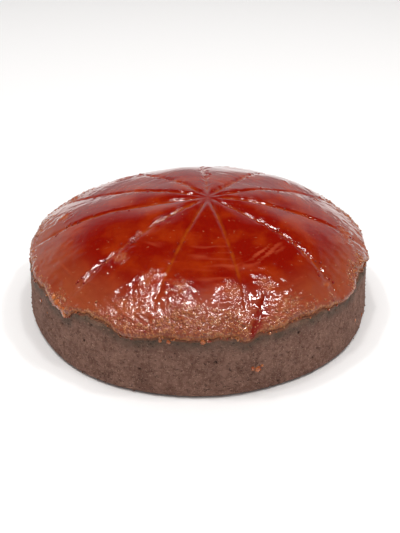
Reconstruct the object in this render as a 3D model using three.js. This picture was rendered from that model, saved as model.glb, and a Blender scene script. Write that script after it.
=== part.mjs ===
// A round guava cake: a domed brown sponge baked in a 9 inch tin, under a thick skin of set guava
// glaze that is scored in wedges and hangs in a wavy edge with a few drips round the upper wall.
// Millimetres, +Z up. The origin is the middle of the flat underside, and the shown side faces -Y.
import * as THREE from "three";
import { ParametricGeometry } from "three/addons/geometries/ParametricGeometry.js";
import { mergeGeometries } from "three/addons/utils/BufferGeometryUtils.js";

// Driving dimensions of the sponge
const FOOT_RADIUS = 112.5;
const SHOULDER_RADIUS = 110;
const SHOULDER_HEIGHT = 38;
const CROWN_HEIGHT = 70;
const CROWN_SHIFT = 6; // how far to +X the crown's top lies off the middle
const CROWN_FLATNESS = 2.1; // exponent of the crown's outline along its radius
const SHOULDER_SQUARENESS = 1.2; // exponent of the same outline along its height
const FOOT_ROUNDING = 3;

// Slow lumps of the baked sponge, each a wave: its height in mm, how many times it goes round the
// cake, how fast it turns on the way down from the crown, and where it starts
const LUMPS = [
  { height: 0.6, turns: 3, pitch: 23, phase: 0.6 },
  { height: 0.45, turns: 5, pitch: -17, phase: 2.1 },
  { height: 0.3, turns: 8, pitch: 13, phase: 1.6 },
];
const LUMP_START = 40; // the lumps grow to their full height over this distance from the crown's top

// Driving dimensions of the glaze
const CROWN_THICKNESS = 2.6;
const HANGING_THICKNESS = 1.7;
const THINNING = 40; // stretch above the shoulder's end over which the glaze gets thinner
const GLAZE_CLEARANCE = 0.3;
const WEDGE_PILLOW = 0.8; // how far the middle of a wedge stands above its sides
const PILLOW_FULLNESS = 0.7; // under 1 makes the pillow flatter in its middle and steeper at its sides
const LIP_LENGTH = 4; // stretch over which the hanging edge is rounded off
const EDGE_HEIGHT = 40; // of the hanging edge between its sags
const EDGE_RIPPLE = 0.5;
const RIPPLES = 11; // round the cake

// Score lines, as directions round the cake in degrees: -90 is the front
const SCORE_DIRECTIONS = [-173, -135.6, -106.3, -75, -39.6, -7, 26, 58.5, 91, 124, 156];
const SCORE_DEPTH = 1.4;
const SCORE_WIDTH = 1.9;
const SCORE_START = 4; // the lines begin this far from the crown's top,
const SCORE_FULL = 14; // are at full depth from here on,
const SCORE_FADE = 30; // and lose most of their depth over this last stretch of the shoulder
const SCORE_LEFT = 0.35; // share of the depth that is left at its end

// Sags and drips of the hanging edge: direction, half width in degrees, and reach in mm
const SAGS = [
  { direction: -157, width: 8, reach: 2 },
  { direction: -139.5, width: 4.5, reach: 3.6 },
  { direction: -134.3, width: 2.4, reach: 5 },
  { direction: -112, width: 4.5, reach: 3.2 },
  { direction: -106, width: 4.5, reach: 1.6 },
  { direction: -91, width: 8, reach: 2.4 },
  { direction: -75.8, width: 2.6, reach: 2.4 },
  { direction: -66, width: 6, reach: 0.8 },
  { direction: -35, width: 6, reach: 3.6 },
  { direction: -9, width: 3.5, reach: 4 },
  { direction: 10, width: 8, reach: 2.5 },
  { direction: 33, width: 3, reach: 6.5 },
  { direction: 40, width: 7, reach: 2 },
  { direction: 55, width: 9, reach: 3 },
  { direction: 79, width: 5, reach: 4 },
  { direction: 99, width: 8, reach: 2 },
  { direction: 118, width: 3, reach: 7 },
  { direction: 124, width: 7, reach: 2 },
  { direction: 138, width: 8, reach: 2.5 },
  { direction: 163, width: 4, reach: 4.5 },
  { direction: 181, width: 7, reach: 2 },
];

// Fineness of the solids
const COLUMNS_PER_WEDGE = 11;
const SCORE_MARGIN = 1.3; // degrees from a score line to the columns beside it
const ROW_BUNCHING = 1.1; // how strongly the crown's rows draw together towards the shoulder
const CROWN_ROWS = 9; // on the sponge's crown, and on the glaze's underside over it
const GLAZE_CROWN_ROWS = 12;
const FOLLOWING_LENGTH = 20; // last stretch of the crown's outline, where rows follow the edge
const FOLLOWING_ROWS = 4;
const LIP_SHARES = [0.35, 0.7, 0.93, 1];
const WALL_ROWS = 5;
const FOOT_ROWS = 3;
const LENGTH_STEPS = 2000; // in the table of lengths along the crown's outline

const { degToRad, euclideanModulo, lerp, smoothstep } = THREE.MathUtils;

// The crown's outline from the middle of the top to the wall: (r / R)^a + (h / H)^b = 1.
class CrownOutline extends THREE.Curve {
  getPoint(t, target = new THREE.Vector2()) {
    const turn = (t * Math.PI) / 2;
    const across = Math.sin(turn) ** (2 / CROWN_FLATNESS);
    const up = Math.max(0, Math.cos(turn)) ** (2 / SHOULDER_SQUARENESS);
    return target.set(SHOULDER_RADIUS * across, lerp(SHOULDER_HEIGHT, CROWN_HEIGHT, up));
  }
}

const crownOutline = new CrownOutline();
crownOutline.arcLengthDivisions = LENGTH_STEPS;
const CROWN_LENGTH = crownOutline.getLength();
const FOLLOWING_START = CROWN_LENGTH - FOLLOWING_LENGTH;

// The point and outward normal of the bare sponge's outline, `along` mm from the middle of the top.
function outlineAt(along) {
  if (along >= CROWN_LENGTH) {
    const down = (along - CROWN_LENGTH) / SHOULDER_HEIGHT;
    const r = lerp(SHOULDER_RADIUS, FOOT_RADIUS, down);
    return { r, z: SHOULDER_HEIGHT * (1 - down), outR: 1, outZ: 0 };
  }
  const share = Math.max(along / CROWN_LENGTH, 1e-4);
  const point = crownOutline.getPointAt(share);
  const tangent = crownOutline.getTangentAt(share);
  return { r: along === 0 ? 0 : point.x, z: point.y, outR: -tangent.y, outZ: tangent.x };
}

// How far along the outline a height lies.
function alongAtHeight(height) {
  if (height <= SHOULDER_HEIGHT) return CROWN_LENGTH + SHOULDER_HEIGHT - height;
  const up = (height - SHOULDER_HEIGHT) / (CROWN_HEIGHT - SHOULDER_HEIGHT);
  const t = Math.acos(up ** (SHOULDER_SQUARENESS / 2)) / (Math.PI / 2);
  return crownOutline.getLengths()[Math.round(t * LENGTH_STEPS)];
}

// How far along the outline the glaze's lower edge lies in one direction.
function edgeAlong(direction) {
  const ripple = EDGE_RIPPLE * Math.sin(RIPPLES * degToRad(direction));
  const sags = SAGS.map((sag) => {
    const turn = euclideanModulo(direction - sag.direction + 180, 360) - 180;
    return sag.reach * Math.exp(-((turn / sag.width) ** 2));
  });
  return alongAtHeight(EDGE_HEIGHT + ripple - sags.reduce((sum, reach) => sum + reach, 0));
}

// How far the lumps lift a place on the cake. The glaze shares them with the sponge that it lies on.
function lump(direction, along) {
  const a = degToRad(direction);
  const waves = LUMPS.map((w) => w.height * Math.sin(w.turns * a + along / w.pitch + w.phase));
  return Math.min(1, along / LUMP_START) * waves.reduce((sum, wave) => sum + wave, 0);
}

// Thickness of the glaze: thinner down the shoulder, with a pillow on each wedge and a soft V along
// each score line.
function glazeThickness(direction, along) {
  const { r } = outlineAt(along);
  const turns = SCORE_DIRECTIONS.map((score) => euclideanModulo(direction - score, 360));
  const before = Math.min(...turns);
  const after = 360 - Math.max(...turns);
  const sideways = degToRad(Math.min(before, after)) * r;
  const faded = smoothstep(along, CROWN_LENGTH - SCORE_FADE, CROWN_LENGTH);
  const depth = SCORE_DEPTH * lerp(1, SCORE_LEFT, faded);
  const score = depth * Math.exp(-((sideways / SCORE_WIDTH) ** 2));
  const pillow = WEDGE_PILLOW * Math.sin((Math.PI * before) / (before + after)) ** PILLOW_FULLNESS;
  const thinned = smoothstep(along, CROWN_LENGTH - THINNING, CROWN_LENGTH);
  const plain = lerp(CROWN_THICKNESS, HANGING_THICKNESS, thinned);
  return plain + smoothstep(r, SCORE_START, SCORE_FULL) * (pillow - score);
}

// A point of the cake: `lift` is how far it stands off the bare sponge.
function place(direction, along, lift) {
  const a = degToRad(direction);
  const at = outlineAt(along);
  const off = lift + lump(direction, along);
  const r = along === 0 ? 0 : at.r + at.outR * off;
  const shift = CROWN_SHIFT * Math.max(0, 1 - (at.r / SHOULDER_RADIUS) ** 2);
  return new THREE.Vector3(r * Math.cos(a) + shift, r * Math.sin(a), at.z + at.outZ * off);
}

// Directions of the columns: close beside each score line, and even across the wedge between.
function columnDirection(column) {
  const wedge = Math.floor(column / COLUMNS_PER_WEDGE) % SCORE_DIRECTIONS.length;
  const step = column % COLUMNS_PER_WEDGE;
  const start = SCORE_DIRECTIONS[wedge];
  if (step === 0) return start;
  const next = SCORE_DIRECTIONS[(wedge + 1) % SCORE_DIRECTIONS.length];
  const span = euclideanModulo(next - start, 360);
  return start + lerp(SCORE_MARGIN, span - SCORE_MARGIN, (step - 1) / (COLUMNS_PER_WEDGE - 2));
}

// Distances along the crown down to where the rows follow the edge: wide steps on the flat top.
function crownSteps(count) {
  const eased = (i) => Math.sin((ROW_BUNCHING * i) / count) / Math.sin(ROW_BUNCHING);
  return Array.from({ length: count + 1 }, (_, i) => FOLLOWING_START * eased(i));
}

// A sheet through rows of points. Each row gives the point that it has in a direction.
function sheet(rows) {
  const columns = COLUMNS_PER_WEDGE * SCORE_DIRECTIONS.length;
  const last = rows.length - 1;
  const surface = (u, v, target) => {
    const row = rows[Math.round(u * last)];
    target.copy(row(columnDirection(Math.round(v * columns))));
  };
  return new ParametricGeometry(surface, last, columns);
}

// The same sheet with its faces looking the other way.
function turnedOver(geometry) {
  const faces = geometry.getIndex();
  for (let i = 0; i < faces.count; i += 3) {
    const first = faces.getX(i);
    faces.setX(i, faces.getX(i + 1));
    faces.setX(i + 1, first);
  }
  return geometry;
}

// Rows over the crown and down to the glaze's edge, at one distance off the sponge.
function coveredRows(lift) {
  const crown = crownSteps(CROWN_ROWS).map((along) => (d) => place(d, along, lift));
  const hanging = Array.from({ length: FOLLOWING_ROWS }, (_, i) => (d) => {
    return place(d, lerp(FOLLOWING_START, edgeAlong(d), (i + 1) / FOLLOWING_ROWS), lift);
  });
  return [...crown, ...hanging];
}

// The sponge: its covered crown, bare wall, rounded foot and flat underside.
function spongeGeometry() {
  const covered = coveredRows(0);
  const footTop = CROWN_LENGTH + SHOULDER_HEIGHT - FOOT_ROUNDING;
  const wall = Array.from({ length: WALL_ROWS }, (_, i) => (d) => {
    return place(d, lerp(edgeAlong(d), footTop, (i + 1) / WALL_ROWS), 0);
  });
  const foot = Array.from({ length: FOOT_ROWS }, (_, i) => (d) => {
    const turn = (((i + 1) / FOOT_ROWS) * Math.PI) / 2;
    const point = place(d, footTop, FOOT_ROUNDING * (Math.cos(turn) - 1));
    return point.setZ(FOOT_ROUNDING * (1 - Math.sin(turn)));
  });
  return sheet([...covered, ...wall, ...foot, () => new THREE.Vector3(0, 0, 0)]);
}

// The glaze: its top and thinning lip, closed by an underside that follows the sponge.
function glazeGeometry() {
  const lipStart = (d) => edgeAlong(d) - LIP_LENGTH;
  const full = (d, along) => place(d, along, GLAZE_CLEARANCE + glazeThickness(d, along));
  const crown = crownSteps(GLAZE_CROWN_ROWS).map((along) => (d) => full(d, along));
  const hanging = Array.from({ length: FOLLOWING_ROWS - 1 }, (_, i) => (d) => {
    return full(d, lerp(FOLLOWING_START, lipStart(d), (i + 1) / (FOLLOWING_ROWS - 1)));
  });
  const lip = LIP_SHARES.map((share) => (d) => {
    const along = lerp(lipStart(d), edgeAlong(d), share);
    return place(d, along, GLAZE_CLEARANCE + glazeThickness(d, along) * Math.sqrt(1 - share ** 2));
  });
  const top = sheet([...crown, ...hanging, ...lip]);
  return mergeGeometries([top, turnedOver(sheet(coveredRows(GLAZE_CLEARANCE)))]);
}

function brownSponge() {
  return new THREE.MeshStandardMaterial({ color: 0x69483a, roughness: 0.85, metalness: 0 });
}

function redGlaze() {
  return new THREE.MeshStandardMaterial({ color: 0x942610, roughness: 0.12, metalness: 0 });
}

function solid(name, geometry, material) {
  const mesh = new THREE.Mesh(geometry, material);
  mesh.name = name;
  return mesh;
}

const cake = new THREE.Group();
cake.add(solid("sponge", spongeGeometry(), brownSponge()));
cake.add(solid("guava_glaze", glazeGeometry(), redGlaze()));

export default cake;
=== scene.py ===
# %% [markdown]
# # A guava cake under set glaze
# The cake is a low dome of brown sponge, baked in a round tin, under a skin of guava glaze that has
# set to a firm, shiny jelly. Two measured solids come in first: `sponge` and `guava_glaze`. They give
# the true sizes, and everything below is fitted to them. Both are too coarse to be looked at, so each
# is replaced by a fine surface of the same form, and crumbs, drops and beads of glaze are laid on.

import bpy
import numpy as np
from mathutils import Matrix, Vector


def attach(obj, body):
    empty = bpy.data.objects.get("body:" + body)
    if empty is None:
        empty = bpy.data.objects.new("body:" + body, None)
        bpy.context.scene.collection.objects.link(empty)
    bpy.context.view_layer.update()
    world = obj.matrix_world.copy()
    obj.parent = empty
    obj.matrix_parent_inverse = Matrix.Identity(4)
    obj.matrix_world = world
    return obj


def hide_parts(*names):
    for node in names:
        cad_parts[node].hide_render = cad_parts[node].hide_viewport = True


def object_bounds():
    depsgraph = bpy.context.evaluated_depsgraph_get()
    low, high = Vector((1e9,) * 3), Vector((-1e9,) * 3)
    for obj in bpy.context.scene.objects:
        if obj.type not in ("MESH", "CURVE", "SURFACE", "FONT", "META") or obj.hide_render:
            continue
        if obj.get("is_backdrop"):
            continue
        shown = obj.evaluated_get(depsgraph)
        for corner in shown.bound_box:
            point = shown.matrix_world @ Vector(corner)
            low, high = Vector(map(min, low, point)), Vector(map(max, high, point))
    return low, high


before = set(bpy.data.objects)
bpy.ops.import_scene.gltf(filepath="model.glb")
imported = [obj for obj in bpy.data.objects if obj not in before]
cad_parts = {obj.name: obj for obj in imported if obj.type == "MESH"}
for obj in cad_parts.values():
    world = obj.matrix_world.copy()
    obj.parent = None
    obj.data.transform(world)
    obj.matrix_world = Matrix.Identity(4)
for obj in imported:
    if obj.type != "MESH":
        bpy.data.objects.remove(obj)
cad_low, cad_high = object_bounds()
print("solids:", sorted(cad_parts))
print("they reach from", tuple(round(v, 4) for v in cad_low), "to", tuple(round(v, 4) for v in cad_high))

# %% [markdown]
# ## The cake's outline
# A tin gives the cake a nearly upright wall, and the batter rises into a crown above it. The crown
# could be a lathe profile drawn by hand, but then nothing could be laid on it by measure. Here it is a
# superellipse that is walked by its length, so that every later piece can ask for a place on the cake
# by its direction round the cake and its distance down from the middle of the top. All sizes in this
# lesson are millimetres, and only the function that makes a mesh turns them into metres.

# %% Walk the outline from the middle of the top to the foot
MM = 0.001
FOOT_RADIUS = 112.5
SHOULDER_RADIUS = 110
SHOULDER_HEIGHT = 38
CROWN_HEIGHT = 70
CROWN_SHIFT = 6  # how far to +X the crown's top lies off the middle
CROWN_FLATNESS = 2.1
SHOULDER_SQUARENESS = 1.2
OUTLINE_STEPS = 4000

turn = np.linspace(0, np.pi / 2, OUTLINE_STEPS + 1)
crown_r = SHOULDER_RADIUS * np.sin(turn) ** (2 / CROWN_FLATNESS)
crown_up = np.cos(turn).clip(0) ** (2 / SHOULDER_SQUARENESS)
crown_z = SHOULDER_HEIGHT + (CROWN_HEIGHT - SHOULDER_HEIGHT) * crown_up
crown_along = np.concatenate([[0], np.cumsum(np.hypot(np.diff(crown_r), np.diff(crown_z)))])
CROWN_LENGTH = crown_along[-1]
FOOT_ALONG = CROWN_LENGTH + SHOULDER_HEIGHT

outline_along = np.append(crown_along, FOOT_ALONG)
outline_r = np.append(crown_r, FOOT_RADIUS)
outline_z = np.append(crown_z, 0)
outline_out_r = np.append(-np.gradient(crown_z, crown_along), 1)
outline_out_z = np.append(np.gradient(crown_r, crown_along), 0)
print(f"crown {CROWN_LENGTH:.1f} mm long from its middle to the shoulder")

# %% Ask the outline for places
LUMPS = [  # height in mm, turns round the cake, mm for each radian on the way down, start
    (0.6, 3, 23, 0.6),
    (0.45, 5, -17, 2.1),
    (0.3, 8, 13, 1.6),
]
LUMP_START = 40  # mm from the middle of the top, where the lumps have their full height


def outline(along):
    """Radius, height and outward normal of the bare outline, `along` mm from the middle of the top."""
    tables = (outline_r, outline_z, outline_out_r, outline_out_z)
    return [np.interp(along, outline_along, table) for table in tables]


def along_at(height):
    """How far along the outline a height lies: the outline's table read the other way round."""
    return np.interp(-height, -outline_z, outline_along)


def lump(direction, along):
    """Slow lumps of the baked sponge: a sum of waves that wind round the cake, growing from the
    middle."""
    a = np.radians(direction)
    waves = 0
    for height, turns, pitch, start in LUMPS:
        waves = waves + height * np.sin(turns * a + along / pitch + start)
    return np.minimum(1, along / LUMP_START) * waves


def place(direction, along, lift):
    """Points of the cake: the outline turned to a direction in degrees and moved `lift` mm along its
    normal. The crown's top is pulled to +X by a parabola of its radius."""
    direction, along, lift = np.broadcast_arrays(direction, along, lift)
    r, z, out_r, out_z = outline(along)
    off = lift + lump(direction, along)
    shift = CROWN_SHIFT * np.maximum(0, 1 - (r / SHOULDER_RADIUS) ** 2)
    reach = (r + out_r * off) * (along > 0)
    a = np.radians(direction)
    return np.stack([reach * np.cos(a) + shift, reach * np.sin(a), z + out_z * off], axis=-1)


print("the front of the shoulder lies at", place(-90, CROWN_LENGTH, 0).round(1))

# %% [markdown]
# ## Unevenness that can be repeated
# Nothing on a cake is regular, so nearly every surface below asks for noise. Blender has noise in
# `mathutils`, but it answers for one point at a time. Two functions on whole arrays are enough: smooth
# noise for swells and strokes, and scattered centres for pores and crumbs. Both read a small cube of
# random numbers with a fixed seed, so the cake comes out the same each time.

# %% Smooth noise and scattered centres
LATTICE = 32  # cells along each edge of the cube of random numbers, which then repeats


def noise(points, size, seed):
    """Smooth noise from -1 to 1 with swells about `size` mm wide: random values on a cubic grid, blended
    by the smooth step 3t^2 - 2t^3 along x, y and z."""
    values = np.random.default_rng(seed).uniform(-1, 1, (LATTICE,) * 3)
    cell, part = np.divmod(points / size, 1)
    cell = cell.astype(int)
    part = part * part * (3 - 2 * part)
    total = 0
    for corner in np.ndindex(2, 2, 2):
        weight = np.prod(np.where(corner, part, 1 - part), axis=-1)
        total = total + weight * values[tuple(np.moveaxis((cell + corner) % LATTICE, -1, 0))]
    return total


def layered(points, layers):
    """Several noises added up, each with its height, the width of its swells in mm and its seed."""
    return sum(height * noise(points, width, seed) for height, width, seed in layers)


def centres(points, size, seed):
    """Distance to the nearest of many scattered centres, one in each cube of `size` mm, in units of
    size, and a random number from 0 to 1 that belongs to that centre."""
    table = np.random.default_rng(seed).random((LATTICE, LATTICE, LATTICE, 4))
    scaled = points / size
    cell = np.floor(scaled).astype(int)
    nearest = np.full(points.shape[:-1], np.inf)
    owner = np.zeros(points.shape[:-1])
    for step in np.ndindex(3, 3, 3):
        cube = cell + step - 1
        found = table[tuple(np.moveaxis(cube % LATTICE, -1, 0))]
        distance = np.linalg.norm(cube + found[..., :3] - scaled, axis=-1)
        closer = distance < nearest
        nearest = np.where(closer, distance, nearest)
        owner = np.where(closer, found[..., 3], owner)
    return nearest, owner


def ease(value, low, high):
    """0 below low, 1 above high, and the smooth step 3t^2 - 2t^3 between. low may be the larger one."""
    t = np.clip((value - low) / (high - low), 0, 1)
    return t * t * (3 - 2 * t)


def bell(value, width):
    """A bell exp(-(value / width)^2): 1 in its middle and nearly 0 past twice its width."""
    return np.exp(-((value / width) ** 2))


trial = noise(place(np.arange(-180, 180, 1.0), CROWN_LENGTH, 0), 10, 1)
print(f"noise round the shoulder runs from {trial.min():.2f} to {trial.max():.2f}")

# %% [markdown]
# ## From rings of points to a mesh
# Both the sponge and the glaze are closed shells: rings of points between one point on top and one
# underneath. One function joins the rings with triangles, and another puts arrays into a mesh in one
# go with `foreach_set`, which is far quicker than adding vertices one by one.

# %% Put arrays into meshes


def shell_faces(rings, columns):
    """Triangles of a closed shell. The points are: one pole, `rings` rings of `columns`, the other pole.
    Each four-sided gap between two rings is cut in two, and each pole gets a fan."""
    i = np.arange(columns)
    after = (i + 1) % columns
    ring = 1 + columns * np.arange(rings - 1)[:, None]
    a, b, c, d = ring + i, ring + after, ring + columns + after, ring + columns + i
    last = 1 + columns * (rings - 1)
    pole = np.zeros_like(i)
    top_fan = np.stack([pole, i + 1, after + 1], -1)
    low_fan = np.stack([pole + last + columns, last + after, last + i], -1)
    halves = [np.stack([a, d, c], -1).reshape(-1, 3), np.stack([a, c, b], -1).reshape(-1, 3)]
    return np.concatenate([top_fan, *halves, low_fan])


def make_piece(name, points, faces, finish, body="root", **values):
    """A smooth mesh object from arrays: points in mm, faces as rows of three, and one value for each
    point under every further name, for the materials to read."""
    mesh = bpy.data.meshes.new(name)
    mesh.vertices.add(len(points))
    mesh.vertices.foreach_set("co", (points * MM).astype(np.float32).ravel())
    mesh.loops.add(faces.size)
    mesh.loops.foreach_set("vertex_index", faces.astype(np.int32).ravel())
    mesh.polygons.add(len(faces))
    mesh.polygons.foreach_set("loop_start", np.arange(0, faces.size, 3, dtype=np.int32))
    for label, numbers in values.items():
        layer = mesh.attributes.new(label, "FLOAT", "POINT")
        layer.data.foreach_set("value", np.asarray(numbers, np.float32).ravel())
    mesh.materials.append(finish)
    mesh.update()
    mesh.shade_smooth()
    piece = bpy.data.objects.new(name, mesh)
    bpy.context.scene.collection.objects.link(piece)
    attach(piece, body)
    print(f"{name}: {len(points)} points, {len(faces)} triangles")
    return piece


print("a shell with 3 rings of 4 points has", len(shell_faces(3, 4)), "triangles")

# %% [markdown]
# ## Where the glaze ends
# The glaze was poured over the crown and stopped at the top of the wall, in a wavy edge with sags and
# short drips. The edge could be a hand-drawn curve, but the solids already have it as a height that
# dips by a bell for each sag, so the same rule is used, with a finer raggedness on top.

# %% The hanging edge
EDGE_HEIGHT = 40
EDGE_RIPPLE = 0.5
RIPPLES = 11
SAGS = [  # direction and half width in degrees, reach in mm
    (-157, 8, 2),
    (-139.5, 4.5, 3.6),
    (-134.3, 2.4, 5),
    (-112, 4.5, 3.2),
    (-106, 4.5, 1.6),
    (-91, 8, 2.4),
    (-75.8, 2.6, 2.4),
    (-66, 6, 0.8),
    (-35, 6, 3.6),
    (-9, 3.5, 4),
    (10, 8, 2.5),
    (33, 3, 6.5),
    (40, 7, 2),
    (55, 9, 3),
    (79, 5, 4),
    (99, 8, 2),
    (118, 3, 7),
    (124, 7, 2),
    (138, 8, 2.5),
    (163, 4, 4.5),
    (181, 7, 2),
]
RAGGED = [(0.9, 6, 11), (0.7, 2.6, 12)]  # height in mm, width of one tongue in mm, seed


def turned(direction, other):
    """The turn in degrees from one direction to another, from -180 to 180."""
    return (direction - other + 180) % 360 - 180


def bells(direction, table):
    """A bell for each row of a table, added up. A row is a direction, a half width in degrees and a
    height."""
    return sum(height * bell(turned(direction, at), width) for at, width, height in table)


def edge_along(direction):
    """How far down the outline the glaze reaches: a height with ripples, less a bell for each sag, and a
    ragged noise on it."""
    ripple = EDGE_RIPPLE * np.sin(RIPPLES * np.radians(direction))
    height = EDGE_HEIGHT + ripple - bells(direction, SAGS)
    return along_at(height) + layered(place(direction, CROWN_LENGTH, 0), RAGGED)


reach = edge_along(np.arange(-180, 180, 0.5))
print(f"the glaze reaches {reach.min():.1f} to {reach.max():.1f} mm down the outline")

# %% [markdown]
# ## How thick the glaze is
# The glaze is between two and three millimetres thick and was scored into wedges while it set, so a
# soft V runs from near the top to the shoulder along each line, and each wedge swells a little between
# its lines. These are the main forms of the solid. What the solid leaves out comes on top: marks of
# the spatula, folds where the skin slid on the shoulder, blisters, crumbs that show through low down,
# and a slanting dent at the front. Each is a function of its own that answers in millimetres for whole
# arrays, so that it can be tried and measured alone.

# %% The thickness that the solid has too
CROWN_THICKNESS = 2.6
HANGING_THICKNESS = 1.7
THINNING = 40  # mm of the shoulder over which the glaze thins
WEDGE_PILLOW = 0.8
PILLOW_FULLNESS = 0.7
SCORE_DIRECTIONS = np.array([-173, -135.6, -106.3, -75, -39.6, -7, 26, 58.5, 91, 124, 156])
SCORE_START = 4  # radius in mm where the lines begin
SCORE_FULL = 14  # radius in mm where they have their full depth


def wedge(direction):
    """Turns in degrees back to the score line before a direction and on to the one after it."""
    turns = (direction[..., None] - SCORE_DIRECTIONS) % 360
    return turns.min(-1), 360 - turns.max(-1)


def plain_thickness(direction, along):
    """Thickness without any score line: thinner down the shoulder, with the power of a sine as a pillow
    on each wedge."""
    before, after = wedge(direction)
    pillow = WEDGE_PILLOW * np.sin(np.pi * before / (before + after)).clip(0) ** PILLOW_FULLNESS
    thinned = ease(along, CROWN_LENGTH - THINNING, CROWN_LENGTH)
    plain = CROWN_THICKNESS + (HANGING_THICKNESS - CROWN_THICKNESS) * thinned
    return plain + pillow * ease(outline(along)[0], SCORE_START, SCORE_FULL)


def measure(name, heights):
    """Prints from where to where a function of direction and length goes, on a coarse grid of places."""
    direction, along = np.meshgrid(np.arange(-180, 180, 2.0), np.arange(5, 115, 2.0))
    found = heights(direction, along)
    print(f"{name}: {found.min():.2f} to {found.max():.2f} mm")


measure("plain thickness", plain_thickness)

# %% [markdown]
# ## Noise drawn out into strokes
# Marks and folds are long and narrow, so they read noise that is squeezed across them. For marks that
# run round the whole cake, the noise is read on a tall tube, which has no seam. Folds lie in patches
# and fall to one side or the other. There the shoulder is unrolled flat and turned, which the tube
# can't do. A patch is one row of a table: direction in degrees, height, half width and half height in
# mm, and by how many degrees its strokes fall to the right.

# %% Strokes round the cake and in patches
PATCH_RAGGED = 0.35  # how uneven a patch's outline is, as a share of its size
PATCH_TONGUE = 6  # width in mm of one tongue of that outline


def streaky(direction, along, length, width, twist, seed):
    """Noise from -1 to 1 drawn out round the cake: `length` mm long and `width` mm wide on the shoulder,
    slanting by `twist` degrees for each mm on the way down."""
    a = np.radians(direction + twist * along)
    tube = [SHOULDER_RADIUS * np.cos(a), SHOULDER_RADIUS * np.sin(a), along * length / width]
    return noise(np.stack(tube, -1), length, seed)


def unrolled(direction, along, patch):
    """How many mm to the right of a patch's middle a place lies, and how many below it."""
    at, height, *_ = patch
    return np.radians(turned(direction, at)) * SHOULDER_RADIUS, along - along_at(height)


def slanted(right, down, fall):
    """How far along and across its strokes a place lies, if they fall to the right by `fall` degrees: a
    rotation."""
    a = np.radians(fall)
    return right * np.cos(a) + down * np.sin(a), down * np.cos(a) - right * np.sin(a)


def patch_share(direction, along, patch):
    """1 in the middle of a patch and 0 away from it: exp(-d^3) of the distance d in half widths, which
    has a flat top, with noise that makes its outline uneven."""
    _, _, half_width, half_height, _ = patch
    right, down = unrolled(direction, along, patch)
    uneven = PATCH_RAGGED * noise(place(direction, along, 0), PATCH_TONGUE, 27)
    distance = np.hypot(right / half_width, down / half_height) + uneven
    return np.exp(-(distance.clip(0) ** 3))


def strokes(direction, along, patch, length, width, seed):
    """Noise from -1 to 1 in strokes `length` mm long and `width` mm wide, at the patch's slant."""
    *_, fall = patch
    forward, sideways = slanted(*unrolled(direction, along, patch), fall)
    return noise(np.stack([forward, sideways * length / width, 0 * forward], -1), length, seed)


# %% [markdown]
# ## Marks of the spatula
# A spatula spread the warm glaze round the crown and left fine marks, which show where light falls
# along them. They are a tenth of a millimetre deep, so two sizes of drawn-out noise are enough. A few
# bolder, slanting strokes lie on top. The finish also paints their ridges a lighter red, as a painted
# sheen.

# %% Spatula marks
SPATULA_MARKS = 0.10
MARKS = [  # share, length and width in mm, degrees of twist for each mm down, seed
    (1, 26, 2.6, 0.05, 21),
    (0.5, 14, 1.5, -0.1, 22),
]
MARKED_PATCH = 30  # width in mm of the patches that have marks
MARKED_FROM = (-0.5, 0.4)  # noise where the marks of a patch begin, and where they are full
BRUSH_SHARE = 1.2
BRUSH_FROM = (0.1, 0.6)
BRUSH_STROKE = (16, 1.5)  # length and width in mm
BRUSH_SEED = 520
BRUSHED = [  # patches: direction in degrees, height, half width and half height in mm, fall in degrees
    (-60, 60.5, 26, 9, -12),
    (15, 60, 30, 9, 6),
    (112, 61, 28, 9, -5),
    (168, 60, 24, 8, 4),
]


def spatula_marks(direction, along):
    """Fine marks in patches all round the crown, and bolder strokes in the brushed patches."""
    marks = sum(share * streaky(direction, along, *mark) for share, *mark in MARKS)
    marked = ease(noise(place(direction, along, 0), MARKED_PATCH, 23), *MARKED_FROM)
    brushed = 0
    for seed, patch in enumerate(BRUSHED, BRUSH_SEED):
        drawn = strokes(direction, along, patch, *BRUSH_STROKE, seed)
        brushed = brushed + patch_share(direction, along, patch) * ease(drawn, *BRUSH_FROM)
    return SPATULA_MARKS * (marks * marked + BRUSH_SHARE * brushed)


measure("spatula marks", spatula_marks)

# %% [markdown]
# ## Folds on the shoulder
# Where the setting skin slid down, it wrinkled into small patches of sharp folds that glint. A cloth
# simulation could fold a sheet, but it would fold it in places of its own. Here each patch has a row
# in a table. Noise crosses zero along thin lines, and one minus its size makes a sharp ridge there.

# %% Folds
FOLD_HEIGHT = 0.85
RIDGE_STROKE = (13, 2.6)  # length and width in mm of a ridge
RIDGE_SHARPNESS = 3
RIDGE_SEED = 300
CRINKLE_STROKE = (3.6, 1.8)
CRINKLE_SHARE = 0.3
CRINKLE_SEED = 400
FOLD_MIDDLE = 0.5  # share of a fold's height at which the plain surface lies
DIMPLE_HEIGHT = 0.35
DIMPLE_WIDTH = 2.0
FOLDS = [  # patches: direction in degrees, height, half width and half height in mm, fall in degrees
    (-113, 54.5, 10, 9, 38),
    (-99, 54, 10, 9, 21),
    (-113, 46, 14, 8, 16),
    (-97, 46, 7, 4, 4),
    (-79.5, 52.5, 10.5, 9, -27),
    (-78, 45, 7, 6, 38),
    (-65, 54, 8, 9, 34),
    (-61, 45, 14, 8, 5),
    (-41, 46, 5, 4, -20),
    (-131, 58, 7, 6, 20),
    (-8, 50, 14, 7, 25),
    (24, 54, 10, 7, -22),
    (48, 47, 14, 6, 18),
    (77, 53, 10, 8, -30),
    (103, 49, 14, 7, 22),
    (131, 54, 11, 8, 30),
    (152, 46, 13, 6, -18),
    (176, 52, 9, 6, 24),
]


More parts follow.
